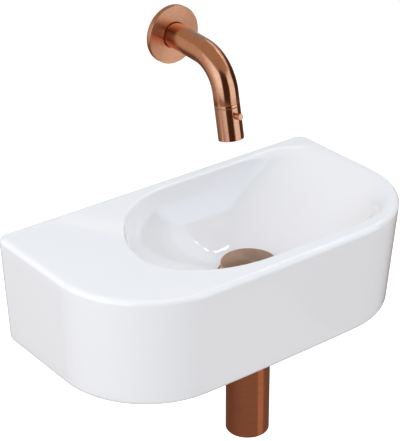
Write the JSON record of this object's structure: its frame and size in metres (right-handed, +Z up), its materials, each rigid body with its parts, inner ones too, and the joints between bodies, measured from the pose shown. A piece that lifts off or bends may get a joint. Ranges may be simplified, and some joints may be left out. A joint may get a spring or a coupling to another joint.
{
  "type": "wall-hung hand basin with wall spout and bottle trap",
  "caption": "Small D-shaped ceramic hand basin hung on wall studs, with a push plug waste, a slim bottle trap and a copper wall spout with a turning end.",
  "frame": {"origin": "on the wall plane, midway between the two wall studs", "axes": "+X to the right along the wall, +Y into the wall, +Z up"},
  "size_m": [0.3994, 0.2795, 0.4562],
  "materials": {
    "glaze": "gloss",
    "copper": "satin",
    "raw_brass": "satin",
    "zinc_steel": "satin",
    "spring_steel": "satin",
    "rubber": "matte",
    "white_plastic": "satin",
    "disc_ceramic": "matte"
  },
  "bodies": {
    "fixed": {"basin": "glaze", "hanger_bolts": "zinc_steel", "fixing_bushes": "white_plastic", "fixing_washers": "zinc_steel", "fixing_nuts": "zinc_steel", "waste_body": "copper", "waste_top_seal": "rubber", "waste_under_seal": "rubber", "waste_back_nut": "raw_brass", "plug_cartridge": "white_plastic", "plug_spring": "spring_steel", "trap_inlet_nut": "copper", "trap_inlet_seal": "rubber", "trap_dip_tube": "copper", "trap_slip_nut": "copper", "trap_slip_seal": "rubber", "trap_head": "copper", "trap_outlet_nut": "copper", "trap_outlet_seal": "rubber", "trap_outlet_pipe": "copper", "trap_wall_plate": "copper", "tap_rose": "copper", "tap_rose_seal": "rubber", "tap_spout": "copper", "tap_wall_nipple": "raw_brass", "tap_wall_seal": "rubber", "tap_valve_cartridge": "raw_brass", "tap_fixed_disc": "disc_ceramic", "tap_slip_ring": "copper"},
    "plug": {"plug_cap": "copper", "plug_seal": "rubber", "plug_stem": "raw_brass"},
    "handle": {"tap_handle_sleeve": "copper", "tap_lever_pin": "copper", "tap_turning_disc": "disc_ceramic", "tap_retaining_ring": "spring_steel", "tap_aerator": "white_plastic", "tap_aerator_seal": "rubber"},
    "cup": {"trap_cup": "copper", "trap_cup_gasket": "rubber"}
  },
  "joints": [
    {"name": "plug_press", "type": "slide", "parent": "fixed", "child": "plug", "axis": [0, 0, -1], "range_m": [0, 0.007], "stiffness_N_per_m": 500, "springref_m": -0.01, "deforming": ["plug_spring"]},
    {"name": "handle_turn", "type": "hinge", "parent": "fixed", "child": "handle", "pos_m": [0.0194, -0.09863, 0.1562], "axis": [0, 0.1994, 0.9799], "range_deg": [0, 90]},
    {"name": "cup_lower", "type": "slide", "parent": "fixed", "child": "cup", "axis": [0, 0, -1], "range_m": [0, 0.075]}
  ]
}
